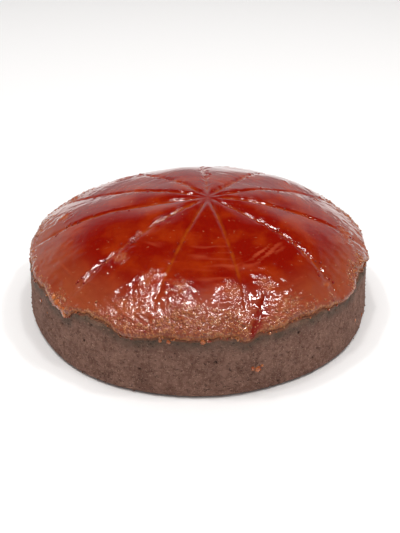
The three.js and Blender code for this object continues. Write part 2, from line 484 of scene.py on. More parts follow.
def wrinkles(direction, along):
    """Folds where the skin slid on the shoulder, and how wrinkled each place is, from 0 to 1: sharp
    ridges at each patch's own slant, with finer crinkles, cut up by dimples as wide as a crumb."""
    height = 0
    shares = 0
    for number, fold in enumerate(FOLDS):
        share = patch_share(direction, along, fold)
        drawn = strokes(direction, along, fold, *RIDGE_STROKE, RIDGE_SEED + number)
        fine = strokes(direction, along, fold, *CRINKLE_STROKE, CRINKLE_SEED + number)
        ridges = (1 - np.abs(drawn)) ** RIDGE_SHARPNESS
        height = height + share * (ridges + CRINKLE_SHARE * fine - FOLD_MIDDLE)
        shares = np.maximum(shares, share)
    dimples = noise(place(direction, along, 0), DIMPLE_WIDTH, 25)
    return FOLD_HEIGHT * height + DIMPLE_HEIGHT * shares * dimples, shares


measure("folds", lambda direction, along: wrinkles(direction, along)[0])

# %% [markdown]
# ## Score lines
# A knife was drawn through the glaze before it had set all the way. Some lines stayed clean, and in
# others the skin tore and was dragged along. The same V for all would look machined, so each line has
# a number for how torn it is, which lets in lumps beside the line and changes its width and depth.

# %% Clean and torn score lines
SCORE_TORN = np.array([0.4, 1, 0.15, 0.15, 1, 0.6, 0.8, 0.5, 0.7, 1, 0.6])
SCORE_DEPTH = 1.0
SCORE_WIDTH = 1.7
SCORE_NOISE = {  # what is uneven along a line: width in mm of its swells, and seed
    "width": (3.2, 41),
    "lumps": (3.0, 42),
    "drag": (1.9, 43),
    "depth": (4.5, 44),
}
SCORE_FADE = 30  # mm of the shoulder over which a line fades
SCORE_LEFT = 0.12  # share of its depth that is left at the end
CLEAN_DEPTH = 0.55  # share of the depth that a clean line has
TORN_DEPTH = (-0.2, 0.4)  # what a torn line adds to that share, at least and at most
DEEPER_FROM = (-0.5, 0.5)  # noise where a torn line begins to be deeper, and where it is deepest
RAGGED_WIDTH = 0.45  # by what share the width of a torn line changes
RIDGE_HEIGHT = 0.5  # the torn lumps beside a line: height, distance from it and width, in mm
RIDGE_AT = 2.3
RIDGE_WIDTH = 1.2
RIDGE_FROM = (0.1, 0.9)
DRAG_HEIGHT = 0.4  # the dragged skin: height and reach, in mm
DRAG_REACH = 2.6


def score_sideways(direction, along):
    """Distance in mm across the surface to the nearest score line."""
    before, after = wedge(direction)
    return np.radians(np.minimum(before, after)) * outline(along)[0]


def score_torn(direction):
    """How torn the nearest score line is, from 0 to 1."""
    return SCORE_TORN[np.abs(turned(direction[..., None], SCORE_DIRECTIONS)).argmin(-1)]


def score_strength(along):
    """1 where a score line is at its full depth, less near the top's middle and down the shoulder."""
    faded = 1 - (1 - SCORE_LEFT) * ease(along, CROWN_LENGTH - SCORE_FADE, CROWN_LENGTH)
    return faded * ease(outline(along)[0], SCORE_START, SCORE_FULL)


def scores(direction, along):
    """The score lines: a bell across each line, ragged where the knife dragged the set skin, with torn
    lumps on both sides."""
    sideways = score_sideways(direction, along)
    points = place(direction, along, 0)
    torn = score_torn(direction)
    uneven = {name: noise(points, *row) for name, row in SCORE_NOISE.items()}
    width = SCORE_WIDTH * (1 + RAGGED_WIDTH * torn * uneven["width"])
    least, most = TORN_DEPTH
    deeper = least + (most - least) * ease(uneven["depth"], *DEEPER_FROM)
    groove = SCORE_DEPTH * (CLEAN_DEPTH + torn * deeper) * bell(sideways, width)
    lumpy = ease(uneven["lumps"], *RIDGE_FROM)
    ridges = RIDGE_HEIGHT * bell(sideways - RIDGE_AT, RIDGE_WIDTH) * lumpy
    dragged = DRAG_HEIGHT * uneven["drag"] * bell(sideways, DRAG_REACH)
    return score_strength(along) * (torn * (ridges + dragged) - groove)


measure("score lines", scores)

# %% [markdown]
# ## Crumbs under the glaze
# Low on the shoulder the glaze is thin, and the sponge's crumbs show as bumps and as orange-brown
# grain. Noise would give soft hills, but crumbs are separate and round, so each gets a scattered
# centre. The share of crumbs, from 0 to 1, later also tells the finish where the glaze looks thin.

# %% Crumbs that show through
CRUMB_BAND = 2.5  # mm above the edge up to which crumbs show through, and more at these places:
CRUMB_PATCHES = [  # direction and half width in degrees, further reach in mm
    (-138, 5, 4),
    (-95, 12, 13),
    (-79, 8, 8),
    (-62, 9, 8),
    (-20, 9, 5),
    (22, 14, 11),
    (61, 10, 7),
    (95, 16, 12),
    (140, 13, 9),
    (172, 8, 5),
]
CRUMB_TONGUES = [(6, 7, 51), (3, 2.6, 52)]  # the uneven upper end: height and width in mm, seed
CRUMB_FADE = 7  # mm above and below that end over which the crumbs fade
CRUMB_BUMP = 0.7
CRUMB_CELL = 2.1  # mm from crumb to crumb
CRUMB_SLOPE = (0.75, 0.15)  # how far from its centre a crumb's foot and its top lie, in cells
LOWEST_CRUMB = 0.5  # share of the highest crumb's height that the lowest one has
CRUMB_LEVEL = 0.4  # share of a crumb's height at which the plain surface lies


def crumb_share(direction, along, edge):
    """How much the sponge's crumbs show through, from 0 to 1: all of it at the edge, less further up."""
    above = edge - along + layered(place(direction, along, 0), CRUMB_TONGUES)
    band = CRUMB_BAND + bells(direction, CRUMB_PATCHES)
    return ease(above, band + CRUMB_FADE, band - CRUMB_FADE)


def crumb_tops(points):
    """1 on top of each crumb and 0 in the gaps: a smooth step of the distance to scattered centres, each
    with a height of its own."""
    near, size = centres(points, CRUMB_CELL, 53)
    return ease(near, *CRUMB_SLOPE) * (LOWEST_CRUMB + (1 - LOWEST_CRUMB) * size)


def crumb_bumps(direction, along, edge):
    """Round bumps of the crumbs under the thin glaze."""
    tops = crumb_tops(place(direction, along, 0))
    return CRUMB_BUMP * crumb_share(direction, along, edge) * (tops - CRUMB_LEVEL)


measure("crumbs", lambda direction, along: crumb_bumps(direction, along, edge_along(direction)))

# %% [markdown]
# ## A dent and a few blisters
# At the front something pressed a shallow, slanting dent into the glaze. The finish paints it dark
# red: the glaze's deep red, darkened as painted shade of the hollow. Higher up, air lifted the skin
# into a few small blisters, each of which catches the light as one stroke. All are bells of a
# distance: the dent's to a straight stroke, a blister's to its middle.

# %% The dent
DENT_TOP = (-67.6, 49.5)  # direction in degrees and height in mm
DENT_FOOT = (-74.4, 38)
DENT_WIDTH = 3.6
DENT_DEPTH = 1.0
DENT_ENDS = 0.6  # share of the width at both ends
DENT_BELLY = 0.7  # what is added further in, where along the dent, and over what half length
BELLY_AT = 0.45
BELLY_LENGTH = 0.3
DENT_RAGGED = [(0.45, 3, 55), (0.35, 1.6, 56)]  # share of the width, width of one tongue in mm, seed


def on_sheet(direction, along):
    """A place on the unrolled shoulder: mm round the cake and mm down the outline."""
    return np.stack([np.radians(direction) * SHOULDER_RADIUS, along], -1)


def dent_share(direction, along):
    """1 in the middle of the slanting dent and 0 away from it: a bell of the distance to a straight
    stroke on the unrolled shoulder, widest halfway down and with a torn outline."""
    top = on_sheet(DENT_TOP[0], along_at(DENT_TOP[1]))
    stroke = on_sheet(DENT_FOOT[0], along_at(DENT_FOOT[1])) - top
    here = on_sheet(direction, along) - top
    share = np.clip(here @ stroke / (stroke @ stroke), 0, 1)
    torn = 1 + layered(place(direction, along, 0), DENT_RAGGED)
    width = DENT_WIDTH * (DENT_ENDS + DENT_BELLY * bell(share - BELLY_AT, BELLY_LENGTH)) * torn
    return bell(np.linalg.norm(here - share[..., None] * stroke, axis=-1), width)


measure("dent", lambda direction, along: -DENT_DEPTH * dent_share(direction, along))

# %% Blisters
BLISTER_HEIGHT = 0.5
BLISTERS = [  # rows like those of the patches
    (-129.4, 60.7, 2.4, 1.4, -30),
    (-132.2, 59.0, 2.4, 1.4, -30),
    (-126.1, 59.8, 2.4, 1.7, 0),
    (-135.5, 54.5, 1.7, 1.5, 0),
    (-131.6, 55.1, 1.7, 1.5, 0),
    (-130.7, 53.3, 1.7, 1.4, 0),
    (-133.4, 49.0, 2.6, 1.4, -30),
    (-110.3, 58.2, 2.2, 1.4, -35),
    (-106.8, 57.5, 1.7, 1.7, 0),
    (-98.8, 57.0, 4.8, 1.5, 25),
    (-85.6, 63.5, 4.6, 1.5, -25),
    (-71.5, 59.0, 1.5, 2.4, 0),
    (-69.0, 56.5, 1.4, 2.0, 0),
    (-55.9, 57.8, 3.0, 2.0, 0),
    (40, 58, 3.5, 1.6, 20),
    (88, 61, 4.0, 1.6, -25),
    (127, 58, 3.0, 1.8, 15),
]


def blister_share(direction, along, blister):
    """1 in the middle of a blister and 0 away from it: an oval bell, turned by the blister's slant."""
    _, _, half_width, half_height, fall = blister
    right, down = unrolled(direction, along, blister)
    right = right * outline(along)[0] / SHOULDER_RADIUS
    forward, sideways = slanted(right, down, fall)
    return bell(np.hypot(forward / half_width, sideways / half_height), 1)


def blisters(direction, along):
    """A few smooth swellings on the crown, each long and low."""
    return BLISTER_HEIGHT * sum(blister_share(direction, along, blister) for blister in BLISTERS)


measure("blisters", blisters)

# %% All the relief together
SWELLS = 0.22  # slow unevenness of the poured glaze: height and width in mm
SWELL_WIDTH = 13
PEBBLES = 0.22  # the sponge's own bumps, which show through low down: height and width in mm
PEBBLE_WIDTH = 3.4
PEBBLE_START = 50  # mm up the crown from the shoulder where they begin, and where they are full
PEBBLE_FULL = 15
FOLD_END = (0.5, 4)  # mm above the edge over which the folds die away
SCORE_WIPED = 0.8  # share of a score line that a fold wipes out


def relief(direction, along, edge):
    """Everything that stands on or sinks into the plain glaze. Inside the dent it is smooth."""
    points = place(direction, along, 0)
    dent = dent_share(direction, along)
    folds, creased = wrinkles(direction, along)
    folds = folds * ease(edge - along, *FOLD_END)
    crumbs = crumb_bumps(direction, along, edge)
    swells = SWELLS * noise(points, SWELL_WIDTH, 24)
    low_down = ease(along, CROWN_LENGTH - PEBBLE_START, CROWN_LENGTH - PEBBLE_FULL)
    pebbles = PEBBLES * noise(points, PEBBLE_WIDTH, 26) * low_down
    lines = scores(direction, along) * (1 - SCORE_WIPED * creased)
    shaped = lines + spatula_marks(direction, along) + swells + pebbles
    return shaped + blisters(direction, along) + (folds + crumbs) * (1 - dent) - DENT_DEPTH * dent


measure("all relief", lambda direction, along: relief(direction, along, edge_along(direction)))

# %% [markdown]
# ## Shader arithmetic
# A finish is worked out by a tree of nodes, and a tree is hard to read when it is built link by link.
# One small class wraps a node's output, so that sums can be written as sums. Python asks it to add and
# multiply, and it answers by adding Math nodes. Every other node comes from its method `node`. The
# masks that follow begin and end near 0.5, because Blender's noise lies about that. Colours are given
# as they are seen on a screen and turned into the linear numbers that Blender works with.

# %% A wire that can be added and multiplied


class Wire:
    """An output of a shader node. Sums with it add Math nodes: 1 - mask works, and so does a * b."""

    def __init__(self, tree, socket=None):
        self.tree = tree
        self.socket = socket

    def node(self, kind, settings=(), inputs=(), output=0):
        """Adds a node of one kind: its settings first, then numbers, colours or wires for its inputs."""
        made = self.tree.nodes.new(kind)
        for name, value in dict(settings).items():
            if name == "stops":
                self.set_stops(made.color_ramp, value)
            else:
                setattr(made, name, value)
        for name, value in dict(inputs).items():
            if isinstance(value, Wire):
                self.tree.links.new(value.socket, made.inputs[name])
            else:
                made.inputs[name].default_value = value
        return Wire(self.tree, made.outputs[output] if made.outputs else None)

    @staticmethod
    def set_stops(ramp, stops):
        """Gives a colour ramp its stops, each a place from 0 to 1 and a colour."""
        while len(ramp.elements) < len(stops):
            ramp.elements.new(1)
        for element, (position, colour) in zip(ramp.elements, stops):
            element.position = position
            element.color = colour

    def math(self, operation, first, second):
        """A Math node on two wires or numbers."""
        return self.node("ShaderNodeMath", {"operation": operation}, {0: first, 1: second})

    def __add__(self, other):
        return self.math("ADD", self, other)

    def __radd__(self, other):
        return self.math("ADD", other, self)

    def __sub__(self, other):
        return self.math("SUBTRACT", self, other)

    def __rsub__(self, other):
        return self.math("SUBTRACT", other, self)

    def __mul__(self, other):
        return self.math("MULTIPLY", self, other)

    def __rmul__(self, other):
        return self.math("MULTIPLY", other, self)

    def between(self, low, high):
        """0 below low, 1 above high, and a smooth step between. low may be the larger one."""
        steps = {"Value": self, "From Min": low, "From Max": high}
        return self.node("ShaderNodeMapRange", {"interpolation_type": "SMOOTHSTEP"}, steps)

    def blend(self, first, second):
        """The first colour where this wire is 0 and the second where it is 1."""
        mixed = {0: self, 6: first, 7: second}  # the numbers of a Mix node's factor and colour sockets
        return self.node("ShaderNodeMix", {"data_type": "RGBA"}, mixed, 2)

    def noise(self, at, size, detail=2.0):
        """Blender's own noise, about 0.5, with swells `size` mm wide."""
        return self.node("ShaderNodeTexNoise", (), {"Vector": at, "Scale": 1 / size, "Detail": detail})

    def cells(self, at, size):
        """Distance to the nearest of scattered centres, one in each cube of `size` mm, in cubes."""
        return self.node("ShaderNodeTexVoronoi", (), {"Vector": at, "Scale": 1 / size}, "Distance")

    def value(self, name):
        """The value that a piece's points carry under a name."""
        return self.node("ShaderNodeAttribute", {"attribute_name": name}, (), "Fac")

    def position(self):
        """Where the surface is, in millimetres."""
        at = self.node("ShaderNodeTexCoord", (), (), "Object")
        return self.node("ShaderNodeVectorMath", {"operation": "MULTIPLY"}, {0: at, 1: [1 / MM] * 3})

    def bumped(self, height, depth):
        """A normal that is tilted as if the surface stood out by `height` times `depth` mm."""
        inputs = {"Height": height, "Distance": depth * MM, "Strength": 1.0}
        return self.node("ShaderNodeBump", (), inputs)


# %% Colours, and materials to fill


def tone(red, green, blue):
    """A colour as seen on a screen, from 0 to 255, as the linear colour that Blender works with: the
    inverse of the screen's curve."""
    seen = np.array([red, green, blue]) / 255
    linear = np.where(seen <= 0.04045, seen / 12.92, ((seen + 0.055) / 1.055) ** 2.4)
    return (*linear, 1.0)


def new_finish(name):
    """An empty material and the wire that its nodes start from."""
    finish = bpy.data.materials.new(name)
    finish.use_nodes = True
    finish.node_tree.nodes.clear()
    return finish, Wire(finish.node_tree)


def close_finish(start, **sockets):
    """The surface shader and the material's output. Underscores in a name stand for spaces."""
    named = {name.replace("_", " "): value for name, value in sockets.items()}
    surface = start.node("ShaderNodeBsdfPrincipled", (), named)
    start.node("ShaderNodeOutputMaterial", (), {"Surface": surface})


print("middle grey as linear colour:", np.round(tone(128, 128, 128), 3))

# %% [markdown]
# ## The glaze's finish
# Set guava glaze is a clear, deep red jelly. Over brown sponge it looks dark and even where it is
# thick, orange at the bottom of the score lines, where little of it is left, and orange-brown where it
# thins out low down. Real glass-like transparency would show that by itself, but it is slow and can't
# be exported. The glaze is therefore solid in colour, with the thin places carried by the points, a
# little light scattered under the skin, and a clear coat for the wet shine. Some light is painted into
# the colour as well: the shoulder's brown is partly a painted sheen, the spatula marks are painted
# lighter as a sheen, and the dent is painted dark as shade. Loose drops are amber.

# %% Red glaze
DEEP_RED = tone(128, 13, 2)
WARM_RED = tone(150, 42, 6)
# lighter red along the ridges of the spatula marks: a painted sheen
STREAK_SHEEN_RED = tone(166, 64, 38)
# browner and paler down the shoulder: partly thinner glaze, partly a painted sheen
SHOULDER_BROWN_AND_SHEEN = tone(150, 70, 42)
GROOVE_ORANGE = tone(154, 62, 10)
# painted shade: the hollow of the dent is painted a dark red
DENT_SHADED_RED = tone(122, 20, 4)
FOLD_ORANGE = tone(174, 92, 48)
GAP_BROWN = tone(136, 64, 40)
CRUMB_ORANGE = tone(178, 110, 66)
CRUMB_PALE = tone(204, 154, 120)
AMBER = tone(190, 108, 54)
GRAIN = 1.4  # how wide in mm the unevenness of the colour and of the surface is, in five sizes
FINE = 2.2
CLUMP = 4
RIPPLE = 6
SOFT = 18
ORANGE_STRETCH = 7  # mm of a score line that is orange or isn't
GRAIN_DEPTH = 0.8  # mm


def glaze_colour(start, at, covered, crumbs, fine, clumps):
    """The glaze's colours from the ground up: each is laid over those before it where its mask is 1."""
    soft = start.noise(at, SOFT, 3.0)
    lip = start.value("lip")
    pale = crumbs * (1 - 0.7 * lip) * clumps.between(0.5, 0.7) * fine.between(0.5, 0.6)
    groove = start.value("groove") * (1.5 * start.noise(at, ORANGE_STRETCH) - 0.1)
    layers = [
        (soft.between(0.42, 0.72), WARM_RED),
        # painted sheen: the spatula marks' ridges are painted lighter
        (start.value("streak").between(0.2, 1.6), STREAK_SHEEN_RED),
        # the shoulder's brown: thinner glaze, with a painted sheen in it
        ((start.value("low") * (0.5 + soft)).between(0.0, 1.3), SHOULDER_BROWN_AND_SHEEN),
        ((start.value("crinkled") * (fine + clumps)).between(0.5, 1.6), FOLD_ORANGE),
        (groove.between(0.1, 1.1), GROOVE_ORANGE),
        (covered, GAP_BROWN),
        (crumbs, CRUMB_ORANGE),
        (pale, CRUMB_PALE),
        # painted shade in the dent, over the glaze's deep red
        ((start.value("dent") * (0.5 + fine)).between(0.15, 0.9), DENT_SHADED_RED),
        ((start.value("amber") * (fine + clumps)).between(0.4, 1.2), AMBER),
    ]
    colour = DEEP_RED
    for mask, laid_on in layers:
        colour = mask.blend(colour, laid_on)
    return colour


def red_glaze():
    """Deep red, warmer in soft patches and browner down the shoulder, where the glaze is thinner and a
    sheen is painted in, orange in the grooves and orange-brown where crumbs show. Spatula marks are
    painted lighter as sheen, and the dent is painted dark red as shade. The surface is wet and smooth,
    and crinkled where it is wrinkled or lies on crumbs."""
    finish, start = new_finish("red_glaze")
    at = start.position()
    thin = start.value("thin")
    crinkled = start.value("crinkled")
    lip = start.value("lip")
    fine = start.noise(at, FINE, 3.0)
    clumps = start.noise(at, CLUMP)
    grains = start.cells(at, GRAIN).between(0.6, 0.1)
    covered = (thin + 0.7 * lip + 1.2 * (fine - 0.5) + clumps - 0.5).between(0.2, 0.9)
    grainy = 0.4 * start.value("crumb") + 0.3 * lip + 0.7 * grains + fine - 0.5
    crumbs = covered * grainy.between(0.1, 0.7)
    dimples = start.noise(at, GRAIN) * (0.06 + 0.75 * crinkled + 0.25 * thin)
    surface = dimples + start.noise(at, RIPPLE) * 0.3 + 0.5 * grains * (thin + lip)
    close_finish(
        start,
        Base_Color=glaze_colour(start, at, covered, crumbs, fine, clumps),
        Roughness=0.06 + 0.06 * crinkled + 0.7 * lip,
        Normal=start.bumped(surface, GRAIN_DEPTH),
        IOR=1.45,
        Coat_Weight=0.5 - 0.5 * lip - 0.4 * start.value("dent"),
        Coat_Roughness=0.03,
        Subsurface_Weight=0.15,
        Subsurface_Radius=(0.003, 0.0007, 0.0004),
        Subsurface_Scale=1.0,
    )
    return finish


glaze_finish = red_glaze()
print("made the finish", glaze_finish.name)

# %% [markdown]
# ## The glaze
# Its rings run from the middle of the top down to the hanging edge and back underneath, so that the
# skin is closed. The rings draw together towards the shoulder, where the relief is finest, by a sine.
# At the edge the last few millimetres round off as a quarter of an ellipse, with a thicker rim.

# %% Rings of the glaze
GLAZE_COLUMNS = 780
GLAZE_RINGS = 107
LIP_RINGS = 9
UNDERSIDE_RINGS = 8
RING_BUNCHING = 1.25
LIP_LENGTH = 4.5
RIM_BEAD = 0.25  # the thicker rim: height, distance from the edge and half width, in mm
RIM_AT = 2.2
RIM_WIDTH = 1.8
THINNEST = 0.35
SINK = -0.25  # the underside lies this far in the sponge, so that no slit shows at the edge
ORANGE_WIDTH = 1.3  # mm to each side of a score line that look orange, and that look crinkled
CRINKLED_WIDTH = 3
CRINKLED_SHARE = 0.5
BROWN_AND_SHEEN_BAND = (44, 8)  # mm up the crown from the shoulder: brown and painted sheen begin, then are full
MATT_LIP = (2.2, 0.3)  # mm above the edge where the lip begins to look matt, and is all matt

columns = np.arange(GLAZE_COLUMNS) * 360 / GLAZE_COLUMNS - 180
edges = edge_along(columns)


def eased_shares(count):
    """`count` shares from just over 0 to 1 whose steps shrink towards 1: sin(b t) / sin(b)."""
    t = np.arange(1, count + 1) / count
    return np.sin(RING_BUNCHING * t) / np.sin(RING_BUNCHING)


def glaze_skin():
    """Points of the glaze and what they carry: rings on top, the rounded lip and rings underneath."""
    lip_start = edges - LIP_LENGTH
    lip_share = np.sin(np.arange(1, LIP_RINGS + 1) / LIP_RINGS * np.pi / 2)[:, None]
    open_along = eased_shares(GLAZE_RINGS)[:, None] * lip_start
    along = np.concatenate([open_along, lip_start + LIP_LENGTH * lip_share])
    rounding = np.concatenate([np.ones((GLAZE_RINGS, 1)), np.sqrt(np.maximum(0, 1 - lip_share**2))])
    direction = np.broadcast_to(columns, along.shape)
    rim = RIM_BEAD * bell(edges - along - RIM_AT, RIM_WIDTH)
    height = plain_thickness(direction, along) + relief(direction, along, edges) + rim
    top = place(direction, along, np.maximum(height, THINNEST) * rounding)
    top[-1] = place(columns, edges, SINK)
    under_along = eased_shares(UNDERSIDE_RINGS)[::-1][1:, None] * edges
    under = place(columns, under_along, SINK)
    return np.concatenate([top, under]), glaze_looks(direction, along)


def glaze_looks(direction, along):
    """What the points of the upper side carry for the finish: from 0 to 1, apart from the streaks."""
    sideways = score_sideways(direction, along)
    strength = score_strength(along)
    creased = wrinkles(direction, along)[1]
    dent = dent_share(direction, along)
    thin = crumb_share(direction, along, edges) * (1 - dent)
    torn = CRINKLED_SHARE * score_torn(direction) * strength * bell(sideways, CRINKLED_WIDTH)
    low_start, low_end = BROWN_AND_SHEEN_BAND
    return {
        "groove": strength * bell(sideways, ORANGE_WIDTH) * (1 - creased),
        "thin": thin,
        "crinkled": np.maximum(np.maximum(thin, torn), creased * (1 - dent)),
        "low": ease(along, CROWN_LENGTH - low_start, CROWN_LENGTH - low_end),
        # the height of the spatula marks, which the finish paints lighter as a sheen
        "streak": spatula_marks(direction, along) / SPATULA_MARKS,
        "dent": dent,
        "lip": ease(edges - along, *MATT_LIP),
        "crumb": crumb_tops(place(direction, along, 0)),
    }


def with_poles(top_point, rings, low_point):
    """One list of points: a pole, the rings one after another, and the other pole."""
    return np.concatenate([[top_point], rings.reshape(-1, 3), [low_point]])


def spread(carried, rings):
    """Values for every point of a shell from the values of its first rings, and 0 for the rest."""
    ring_count, column_count = rings.shape[:2]
    padded = {}
    for name, values in carried.items():
        below = ring_count * column_count - values.size
        padded[name] = np.concatenate([[0], values.ravel(), np.zeros(below + 1)])
    return padded


rings, carried = glaze_skin()
top_middle = place(0, 0, 0)
glaze = make_piece(
    "glaze_skin",
    with_poles(top_middle + [0, 0, CROWN_THICKNESS], rings, top_middle + [0, 0, SINK]),
    shell_faces(len(rings), GLAZE_COLUMNS),
    glaze_finish,
    **spread(carried, rings),
)
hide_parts("guava_glaze")

# %% [markdown]
# ## The sponge's finish
# The wall of the cake is the sponge's brown skin from the tin: a fine, dull crumb, mottled from grey
# brown to red brown, with small pores that are painted dark as the shade in them. Just under the
# glaze its juice has seeped in, and the glaze's edge shades the wall: both are painted as a darker,
# olive band. The band is carried by the points, the mottling is noise of several sizes, and the pores
# that are too fine for the mesh come from a cell texture that also dents the surface.

# %% Brown sponge
CRUST_BROWN = tone(140, 104, 90)
CRUST_DARK = tone(112, 78, 66)
CRUST_PALE = tone(172, 136, 116)
# the band under the glaze: seeped juice, and painted shade under the glaze's edge
SOAKED_AND_SHADED = tone(84, 67, 53)
STAINED = tone(122, 72, 50)
# painted shade inside pores and holes
PORE_SHADE = tone(62, 42, 34)
CRUMB_WIDTH = 0.8  # how wide in mm the crumb, the pores and the patches are, in six sizes
PORE_WIDTH = 1.5
MOTTLE_WIDTH = 2.2
PORED_PATCH = 3
SOAK_AND_SHADE_PATCH = 6
SLOW_WIDTH = 14
CRUMB_DEPTH = 0.8  # mm


def brown_sponge():
    """Finely mottled brown crumb with pores painted dark as shade, and a darker band under the glaze,
    where its juice has seeped in and painted shade falls under its edge.
    """
    finish, start = new_finish("brown_sponge")
    at = start.position()
    slow = start.noise(at, SLOW_WIDTH)
    mottle = start.noise(at, MOTTLE_WIDTH, 3.0)
    crumb = start.noise(at, CRUMB_WIDTH)
    colour = (mottle * 0.7 + slow * 0.5).between(0.45, 0.75).blend(CRUST_DARK, CRUST_BROWN)
    colour = crumb.between(0.55, 0.75).blend(colour, CRUST_PALE)
    # a darker olive band under the glaze: seeped juice, and painted shade under the glaze's edge
    soak_and_shade_patches = 0.1 + 1.3 * start.noise(at, SOAK_AND_SHADE_PATCH, 3.0)
    soak_and_shade_mask = start.value("soak") * soak_and_shade_patches + 0.5 * (mottle - 0.5)
    colour = soak_and_shade_mask.between(0.1, 1.0).blend(colour, SOAKED_AND_SHADED)
    stained = start.value("stain") * (0.3 + 1.4 * mottle)
    colour = stained.between(0.3, 1.0).blend(colour, STAINED)
    pored = start.noise(at, PORED_PATCH).between(0.4, 0.6)
    pores = start.cells(at, PORE_WIDTH).between(0.42, 0.16) * pored
    # painted shade: pores and the pits of the wall are painted dark
    colour = (pores * 0.75 + start.value("pit")).between(0.1, 1.2).blend(colour, PORE_SHADE)
    close_finish(
        start,
        Base_Color=colour,
        Roughness=0.9 - 0.25 * soak_and_shade_mask,
        Normal=start.bumped(crumb * 0.6 - pores * 0.7 + mottle * 0.5, CRUMB_DEPTH),
        IOR=1.4,
    )
    return finish


sponge_finish = brown_sponge()
print("made the finish", sponge_finish.name)

# %% [markdown]
# ## The sponge
# Under the glaze nothing of it shows, so a dozen rings are enough there. Below the edge the rings lie
# less than half a millimetre apart and carry pores and a few larger holes as real dents. The foot is
# rounded by a quarter circle, as the corner of a tin leaves it.

# %% Rings of the sponge
SPONGE_COLUMNS = 840
COVERED_RINGS = 12
WALL_RINGS = 92
FOOT_RINGS = 6
FLOOR_RINGS = 3
FOOT_ROUNDING = 3
TUCK = 4  # mm by which the rough wall starts above the glaze's edge
BARE = (-1, 1)  # mm under the edge over which the wall turns from smooth to rough
PORE_CELL = 1.9  # mm from pore to pore
PORE_SLOPE = (0.42, 0.12)  # how far from its centre a pore's rim and its floor lie, in cells
PORE_DEPTH = 0.4
# share of a pore's depth that is painted dark as shade
PORE_SHADE_SHARE = 0.5
HOLE_CELL = 6.5
HOLE_SLOPE = (0.22, 0.08)
HOLE_DEPTH = 0.9
HOLES_LEFT_OUT = 0.75  # share of the centres that have no hole
WALL_SWELLS = [(0.22, 7, 63), (0.14, 2.2, 64), (0.08, 1.1, 65)]  # height and width in mm, seed
SOAK_AND_SHADE_BAND = (13, 1)  # mm under the edge where the band of seep and painted shade ends, and where it is full
STAINED_BAND = (3, 0.3)


def wall_relief(points, below):
    """Dents of the bare wall in mm, and how deep in a pit each point is, from 0 to 1, which the finish
    paints dark as shade: pores round scattered centres, holes round a few of the wider ones, and slow
    swells. `below` is the distance under the glaze's edge, above which the wall stays smooth."""
    pore, depth = centres(points, PORE_CELL, 61)
    hole, chance = centres(points, HOLE_CELL, 62)
    pores = ease(pore, *PORE_SLOPE) * depth
    holes = ease(hole, *HOLE_SLOPE) * (chance > HOLES_LEFT_OUT)
    dents = layered(points, WALL_SWELLS) - PORE_DEPTH * pores - HOLE_DEPTH * holes
    return ease(below, *BARE) * dents, np.maximum(PORE_SHADE_SHARE * pores, holes)


def sponge_body():
    """Points of the sponge and what they carry, ring by ring from the crown to the flat underside."""
    direction = np.arange(SPONGE_COLUMNS) * 360 / SPONGE_COLUMNS - 180
    edge = edge_along(direction)
    wall_top = edge - TUCK
    foot_top = FOOT_ALONG - FOOT_ROUNDING
    wall_share = np.arange(1, WALL_RINGS + 1)[:, None] / WALL_RINGS
    covered = eased_shares(COVERED_RINGS)[:, None] * wall_top
    along = np.concatenate([covered, wall_top + wall_share * (foot_top - wall_top)])
    below = along - edge
    dents, pit = wall_relief(place(direction, along, 0), below)
    body = place(direction, along, dents)
    bend = np.arange(1, FOOT_RINGS + 1)[:, None] / FOOT_RINGS * np.pi / 2
    foot = place(direction, foot_top, FOOT_ROUNDING * (np.cos(bend) - 1) + dents[-1] * np.cos(bend))
    foot[..., 2] = FOOT_ROUNDING * (1 - np.sin(bend))
    inward = 1 - np.arange(1, FLOOR_RINGS + 1)[:, None, None] / (FLOOR_RINGS + 1)
    floor = foot[-1] * inward
    # the band under the edge carries seeped juice and painted shade
    carried = {"soak": ease(below, *SOAK_AND_SHADE_BAND), "stain": ease(below, *STAINED_BAND), "pit": pit}
    return np.concatenate([body, foot, floor]), carried


rings, carried = sponge_body()
sponge = make_piece(
    "baked_sponge",
    with_poles(top_middle, rings, [0, 0, 0]),
    shell_faces(len(rings), SPONGE_COLUMNS),
    sponge_finish,
    **spread(carried, rings),
)
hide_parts("sponge")

# %% [markdown]
# ## Crumbs, beads and drops
# A cake sheds crumbs, and a knife drawn through set glaze leaves torn beads beside its line. They are
# far too many to model one by one and too small to be seen well, so one little ball of eighteen points
# is repeated: roughened for a crumb, smooth for a bead, flattened onto the surface that it sits on and
# half sunk in it. Each kind is one mesh, worked out for all its lumps at once. A few drops of loose
# glaze cling to the wall and to a drip. They are so thin that light comes through and makes them amber.

# %% One ball, many lumps
AXES = (0.75, 1.25)  # how short and how long each of a lump's three axes may be


def ball():
    """Points and faces of an octahedron with each face cut in four and pushed out to a unit ball."""
    points = [tuple(corner) for corner in np.vstack([np.eye(3), -np.eye(3)])]
    faces = []
    for sx, sy, sz in np.ndindex(2, 2, 2):
        corners = [points[3 * sx], points[3 * sy + 1], points[3 * sz + 2]]
        if (sx + sy + sz) % 2:
            corners.reverse()
        middles = [tuple(np.add(corners[i], corners[(i + 1) % 3]) / np.sqrt(2)) for i in range(3)]
        for middle in middles:
            if middle not in points:
                points.append(middle)
        c = [points.index(corner) for corner in corners]
        m = [points.index(middle) for middle in middles]
        faces += [(c[0], m[0], m[2]), (m[0], c[1], m[1]), (m[2], m[1], c[2]), (m[0], m[1], m[2])]
    return np.array(points), np.array(faces)


ball_points, ball_faces = ball()
print(f"the ball has {len(ball_points)} points and {len(ball_faces)} triangles")


